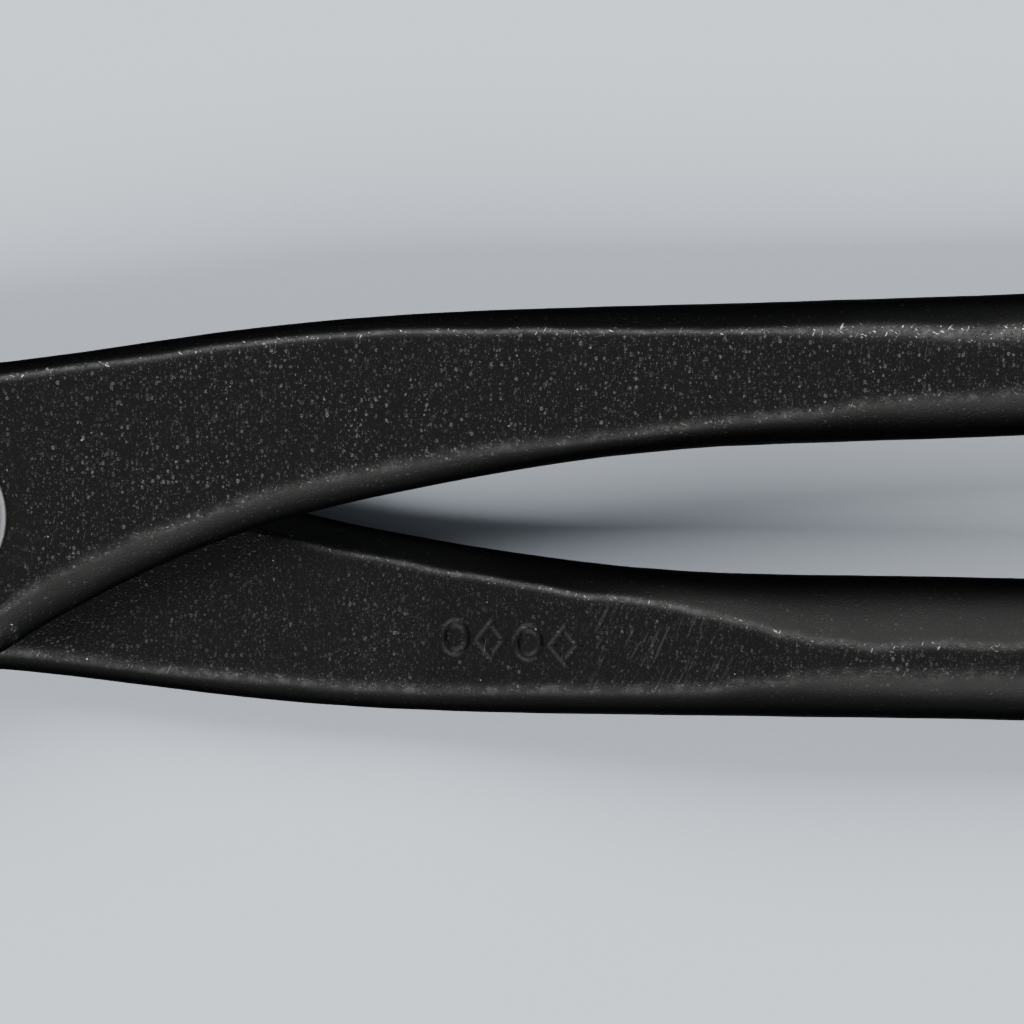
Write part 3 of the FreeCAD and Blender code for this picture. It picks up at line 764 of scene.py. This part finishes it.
def grinding_tool(name, side, angle, length, front, material):
    """A block that grinds the jaw along its cutting edge: outside it if front, else inside it.

    The cutting edge rises from heel to tip where side is 1. It falls where side is -1, on the
    lower lever, because that forging is turned over afterwards.
    """
    low = 0.4 * MM - MIDDLE
    high = JOINT_TOP - 0.2 * MM - MIDDLE
    heel = Vector((GRINDING_HEEL, -0.01 * MM, MIDDLE + side * low))
    tip = Vector((-JAW_REACH - 0.02 * MM, -0.01 * MM, MIDDLE + side * high))
    along = (tip - heel).normalized()
    back = Vector((along.z * side, 0, -along.x * side))
    face = back * math.cos(angle) + Vector((0, -1, 0)) * math.sin(angle)
    outward = face.cross(along)
    if (outward.y < 0) != front:
        outward.negate()
    across = outward.cross(along)
    bm = bmesh.new()
    bmesh.ops.create_cube(bm, size=1.0)
    bmesh.ops.scale(bm, verts=bm.verts, vec=(length, GRINDING_WIDTH, GRINDING_DEPTH))
    bmesh.ops.translate(bm, verts=bm.verts, vec=(0, 0, GRINDING_DEPTH / 2))
    turn = Matrix((along, across, outward)).transposed()
    bmesh.ops.rotate(bm, verts=bm.verts, cent=(0, 0, 0), matrix=turn)
    bmesh.ops.translate(bm, verts=bm.verts, vec=(heel + tip) / 2)
    bmesh.ops.rotate(bm, verts=bm.verts, cent=(0, 0, 0), matrix=JAW_TURN)
    return finish_mesh(bm, name, material)


def machined_lever(name, node, seed, edges, side, dark, bright):
    """One lever in the forging's own frame: blank, boss and jaw, then every cut"""
    lever = forged_blank(name, node, seed, edges, dark)
    combine(lever, boss_disc(name + "_boss", dark), "UNION")
    combine(lever, jaw_block(name + "_jaw", dark, bright), "UNION")
    throat = Vector((THROAT_X, 0, 0))
    throat.rotate(JAW_TURN)
    tools = [
        grinding_tool("front_tool", side, GRIND_ANGLE, GRIND_LENGTH, True, bright),
        grinding_tool("relief_tool", side, RELIEF_ANGLE, RELIEF_LENGTH, False, bright),
        round_tool("throat_tool", THROAT_RADIUS, -MM, 8 * MM, throat, bright),
        round_tool("pivot_tool", PIVOT_BORE, -MM, 8 * MM, (0, 0, 0), bright),
    ]
    if side < 0:
        tools.append(round_tool("countersink_tool", 1.51 * MM, JOINT_TOP - 0.9 * MM,
                                JOINT_TOP + 0.2 * MM, (0, 0, 0), bright, tip_radius=2.61 * MM))
    seat_y, play = LEAF_HIGH.y, 0.15 * MM
    tools += [
        box_tool("seat_tool", (LEAF_LOW.x - play, 0, LEAF_LOW.z - play),
                 (LEAF_LOW.x + 9.9 * MM, seat_y, LEAF_HIGH.z + play), bright),
        round_tool("screw_tool", SCREW_BORE, 0, seat_y + 2.43 * MM, (SCREW_X, 0, MIDDLE),
                   bright, axis="Y", segments=HOLE_SEGMENTS),
    ]
    for tool in tools:
        combine(lever, tool, "DIFFERENCE")
    return lever


# The row of marks: a patch of the shank, then each mark's place, size and line, all in mm.
STAMP_LOW, STAMP_HIGH = Vector((17.0, -5.6)), Vector((22.5, -3.3))
STAMP_START, STAMP_PITCH = Vector((17.95, -4.28)), Vector((1.25, -0.1))
STAMP_COUNT = 4
STAMP_STRETCH = 1.25
RING_RADIUS, LOZENGE_HALF = 0.4, 0.46
LINE_REACH = 0.15 * MM


def stamp(piece):
    """Press a plain row of rings and lozenges into the shank; it stands for no maker or place"""
    depth = bpy.context.scene.nipper_levers.stamp_depth
    low, high = STAMP_LOW * MM, STAMP_HIGH * MM
    with editing(piece) as bm:
        bm.normal_update()
        edges = set()
        for face in bm.faces:
            middle = face.calc_center_median()
            if face.normal.z > 0.8 and low.x < middle.x < high.x and low.y < middle.y < high.y:
                edges.update(face.edges)
        bmesh.ops.subdivide_edges(bm, edges=list(edges), cuts=7, use_grid_fill=True)
        bm.normal_update()
        for vert in bm.verts:
            if vert.normal.z < 0.5 or not low.x < vert.co.x < high.x:
                continue
            for number in range(STAMP_COUNT):
                place = (STAMP_START + STAMP_PITCH * number) * MM
                x = vert.co.x - place.x
                y = (vert.co.y - place.y) / STAMP_STRETCH
                if number % 2:
                    away = abs(abs(x) + abs(y) - LOZENGE_HALF * MM) / math.sqrt(2)
                else:
                    away = abs(math.hypot(x, y) - RING_RADIUS * MM)
                if away < LINE_REACH:
                    vert.co.z -= depth * (1 + math.cos(math.pi * away / LINE_REACH)) / 2


def turn_over(piece):
    """Turn the finished forging over about the X axis, through the middle of the joint"""
    with editing(piece) as bm:
        bmesh.ops.rotate(bm, verts=bm.verts, cent=(0, 0, MIDDLE),
                         matrix=Matrix.Rotation(math.pi, 3, "X"))


# ---------------------------------------------------------------- operators

class NIPPER_OT_levers(bpy.types.Operator):
    """Forge and machine the two levers"""
    bl_idname = "nipper.levers"
    bl_label = "Levers"

    def execute(self, context):
        sizes = context.scene.nipper_levers
        bright = ground_steel("ground_steel", 75.0)
        crisp, soft = sizes.crisp_edge, sizes.soft_edge
        dark = black_forged("black_forged_upper", 1.0, False)
        # Both forgings come from the upper lever's shape: the lower one is turned over at the end.
        upper = machined_lever("upper_lever_forging", "upper_lever", 3,
                               (crisp, soft, soft, soft), 1, dark, bright)
        settle(upper)
        own(upper, "upper_lever", UPPER)
        dark = black_forged("black_forged_lower", 0.6, True)
        lower = machined_lever("lower_lever_forging", "upper_lever", 17,
                               (soft, soft, soft, crisp), -1, dark, bright)
        turn_over(lower)
        stamp(lower)
        settle(lower)
        own(lower, "lower_lever", LOWER)
        return {"FINISHED"}


class NIPPER_OT_pivot(bpy.types.Operator):
    """Turn the rivet and its washer"""
    bl_idname = "nipper.pivot"
    bl_label = "Rivet and washer"

    def execute(self, context):
        colours = context.scene.nipper_finish
        low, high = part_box("pivot_rivet")
        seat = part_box("top_washer")[1].z
        radius = high.x
        rim = seat + 0.19 * MM
        dome = [(radius * math.sin(a), rim + (high.z - rim) * math.cos(a) ** 1.4)
                for a in np.linspace(math.pi / 2, 0.0, 18)]
        profile = [(0.0, low.z), (2.36 * MM, low.z), (2.4 * MM, low.z + 0.04 * MM),
                   (1.5 * MM, low.z + 0.9 * MM), (1.5 * MM, seat), (radius - 0.05 * MM, seat),
                   (radius, seat + 0.05 * MM), *dome]
        polished = turned_steel("polished_rivet", tuple(colours.polished), 0.14)
        rivet = turned_piece("pivot_rivet_turned", profile, polished)
        own(rivet, "pivot_rivet", LOWER)

        low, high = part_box("top_washer")
        edge = 0.04 * MM
        profile = [(PIVOT_BORE, low.z), (high.x - edge, low.z), (high.x, low.z + edge),
                   (high.x, high.z - edge), (high.x - edge, high.z), (PIVOT_BORE, high.z),
                   (PIVOT_BORE, low.z)]
        dull = turned_steel("dull_washer", tuple(colours.washer), 0.38)
        washer = turned_piece("washer_ring", profile, dull)
        own(washer, "top_washer", LOWER)
        return {"FINISHED"}


def leaf_path(side):
    """Middle line of a leaf in plan, from its foot to the end of its rolled tip.

    side is 1 for the upper leaf, whose tip is the barrel, and -1 for the lower one with the hook.
    """
    barrel = Vector((BARREL_X, 0.0))
    offset = BARREL_RADIUS if side > 0 else HOOK_RADIUS
    foot_y = LEAF_HIGH.y - LEAF_THICKNESS / 2
    span, drop = barrel.x - LEAF_FOOT_END, foot_y - offset
    radius = (span * span + drop * drop) / (4 * drop)
    bend = math.asin(span / 2 / radius)
    path = [Vector((x, foot_y)) for x in np.linspace(LEAF_LOW.x, LEAF_FOOT_END, 10)]
    path += [Vector((LEAF_FOOT_END + radius * math.sin(a), foot_y - radius * (1 - math.cos(a))))
             for a in np.linspace(0, bend, 14)[1:]]
    path += [Vector((barrel.x - radius * math.sin(a), offset + radius * (1 - math.cos(a))))
             for a in np.linspace(bend, 0, 14)[1:]]
    path = [Vector((p.x, p.y * side)) for p in path]
    curl, count = (math.radians(315), 40) if side > 0 else (math.radians(150), 22)
    path += [barrel + Vector((offset * math.sin(a), side * offset * math.cos(a)))
             for a in np.linspace(0, curl, count)[1:]]
    return path


def rolled_leaf(name, side, steel, bright):
    """One leaf: a strip with broken edges along its path, with the hole for its screw"""
    half, tall = LEAF_THICKNESS / 2, (LEAF_HIGH.z - LEAF_LOW.z) / 2
    strip = [(half, tall - LEAF_EDGE), (half - LEAF_EDGE, tall), (-half + LEAF_EDGE, tall),
             (-half, tall - LEAF_EDGE), (-half, -tall + LEAF_EDGE), (-half + LEAF_EDGE, -tall),
             (half - LEAF_EDGE, -tall), (half, -tall + LEAF_EDGE)]
    path = leaf_path(side)
    bm = bmesh.new()
    first = [bm.verts.new((0, 0, 0)) for _ in strip]
    ring = first
    edges = [bm.edges.new((ring[k], ring[(k + 1) % len(ring)])) for k in range(len(ring))]
    for index, place in enumerate(path):
        if index:
            ring, edges = next_ring(bm, ring, edges)
        ahead = path[min(index + 1, len(path) - 1)] - path[max(index - 1, 0)]
        ahead.normalize()
        across = Vector((-ahead.y, ahead.x, 0))
        for vert, (out, up) in zip(ring, strip):
            vert.co = Vector((place.x, place.y, MIDDLE)) + across * out + Vector((0, 0, up))
    bmesh.ops.contextual_create(bm, geom=first)
    bmesh.ops.contextual_create(bm, geom=ring)
    bmesh.ops.recalc_face_normals(bm, faces=bm.faces)
    leaf = finish_mesh(bm, name + "_rolled", steel)
    combine(leaf, round_tool("leaf_hole_tool", SCREW_BORE, -6 * MM, 6 * MM, (SCREW_X, 0, MIDDLE),
                             bright, axis="Y", segments=HOLE_SEGMENTS), "DIFFERENCE")
    settle(leaf)
    return leaf


class NIPPER_OT_springs(bpy.types.Operator):
    """Bend the two leaf springs, one tip rolled into a barrel and the other into a hook"""
    bl_idname = "nipper.springs"
    bl_label = "Leaf springs"

    def execute(self, context):
        colours = context.scene.nipper_finish
        steel = turned_steel("spring_steel_satin", tuple(colours.spring), 0.24)
        bright = ground_steel("spring_hole_steel", 0.0)
        for side, name, body, other in ((1, "upper_leaf_spring", UPPER, LOWER),
                                        (-1, "lower_leaf_spring", LOWER, UPPER)):
            leaf = rolled_leaf(name, side, steel, bright)
            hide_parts(name)
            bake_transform(leaf)
        return {"FINISHED"}


def turned_screw(name, side, steel, bright):
    """A slotted screw, turned upright and then laid along Y with its head on its seat"""
    low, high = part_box(name)
    length, head = high.y - low.y, 0.6 * MM
    radius = (high.x - low.x) / 2
    profile = [(0.0, head - length), (0.7 * MM, head - length), (0.7 * MM, -0.02 * MM),
               (radius - 0.05 * MM, 0.0), (radius, 0.05 * MM), (radius, 0.4 * MM),
               (radius - 0.08 * MM, 0.5 * MM), (radius - 0.3 * MM, 0.58 * MM), (0.0, head)]
    screw = turned_piece(name + "_turned", profile, steel, steps=64)
    combine(screw, box_tool("slot_tool", (-0.2 * MM, -2 * MM, 0.3 * MM),
                            (0.2 * MM, 2 * MM, 1.2 * MM), bright), "DIFFERENCE")
    seat = (low.y + head) if side > 0 else (high.y - head)
    with editing(screw) as bm:
        for degrees, axis in ((35, "Z"), (90 * side, "X")):
            bmesh.ops.rotate(bm, verts=bm.verts, cent=(0, 0, 0),
                             matrix=Matrix.Rotation(math.radians(degrees), 3, axis))
        bmesh.ops.translate(bm, verts=bm.verts, vec=((low.x + high.x) / 2, seat, MIDDLE))
    settle(screw)
    return screw


class NIPPER_OT_screws(bpy.types.Operator):
    """Turn the two slotted spring screws"""
    bl_idname = "nipper.screws"
    bl_label = "Spring screws"

    def execute(self, context):
        colours = context.scene.nipper_finish
        steel = turned_steel("screw_steel_bright", tuple(colours.polished), 0.2)
        bright = ground_steel("slot_steel", 0.0)
        for side, name, body in ((1, "upper_spring_screw", UPPER),
                                 (-1, "lower_spring_screw", LOWER)):
            own(turned_screw(name, side, steel, bright), name, body)
        return {"FINISHED"}


class NIPPER_OT_stage(bpy.types.Operator):
    """Lay the floor and place lights and camera"""
    bl_idname = "nipper.stage"
    bl_label = "Stage"

    def execute(self, context):
        stage = context.scene.nipper_stage
        bm = bmesh.new()
        bmesh.ops.create_grid(bm, x_segments=1, y_segments=1, size=1.5)
        bmesh.ops.translate(bm, verts=bm.verts, vec=(0, 0, UNDERSIDE))
        finish_mesh(bm, "floor", plain_floor("pale_floor"))

        for name, place in SOFTBOXES.items():
            lamp = bpy.data.lights.new(name, "AREA")
            lamp.shape = "RECTANGLE"
            lamp.size, lamp.size_y = SOFTBOX_SIZE
            lamp.energy = SOFTBOX_POWER
            holder = bpy.data.objects.new(name, lamp)
            holder.location = AIM + Vector(place)
            holder.rotation_euler = (-Vector(place)).to_track_quat("-Z", "Y").to_euler()
            context.collection.objects.link(holder)
        world = bpy.data.worlds.new("dim_room")
        world.use_nodes = True
        room = world.node_tree.nodes["Background"].inputs
        room["Color"].default_value = (0.9, 0.95, 1.0, 1.0)
        room["Strength"].default_value = ROOM_LIGHT
        context.scene.world = world

        lens = bpy.data.cameras.new("camera")
        lens.sensor_width = 36.0
        lens.lens = lens.sensor_width * stage.camera_distance / stage.field_width
        lens.clip_end = 10.0
        camera = bpy.data.objects.new("camera", lens)
        camera.location = AIM + Vector((0, 0, stage.camera_distance))
        camera.rotation_euler = (0, 0, stage.camera_roll)
        context.collection.objects.link(camera)
        context.scene.camera = camera
        return {"FINISHED"}


class NIPPER_PT_panel(bpy.types.Panel):
    """A button for every step of the nipper"""
    bl_idname = "NIPPER_PT_panel"
    bl_label = "Cuticle nipper"
    bl_space_type = "VIEW_3D"
    bl_region_type = "UI"
    bl_category = "Nipper"

    def draw(self, context):
        for step in STEPS:
            self.layout.operator(step.bl_idname)


STEPS = (NIPPER_OT_levers, NIPPER_OT_pivot, NIPPER_OT_springs, NIPPER_OT_screws, NIPPER_OT_stage)
GROUPS = {"nipper_levers": NipperLevers, "nipper_finish": NipperFinish,
          "nipper_stage": NipperStage}


def register():
    for kind in (*GROUPS.values(), *STEPS, NIPPER_PT_panel):
        bpy.utils.register_class(kind)
    for name, group in GROUPS.items():
        setattr(bpy.types.Scene, name, PointerProperty(type=group))


def unregister():
    for name in GROUPS:
        delattr(bpy.types.Scene, name)
    for kind in reversed((*GROUPS.values(), *STEPS, NIPPER_PT_panel)):
        bpy.utils.unregister_class(kind)


def main():
    register()
    bpy.ops.nipper.levers()
    bpy.ops.nipper.pivot()
    bpy.ops.nipper.springs()
    bpy.ops.nipper.screws()
    bpy.ops.nipper.stage()
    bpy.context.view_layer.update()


if __name__ == "__main__":
    main()
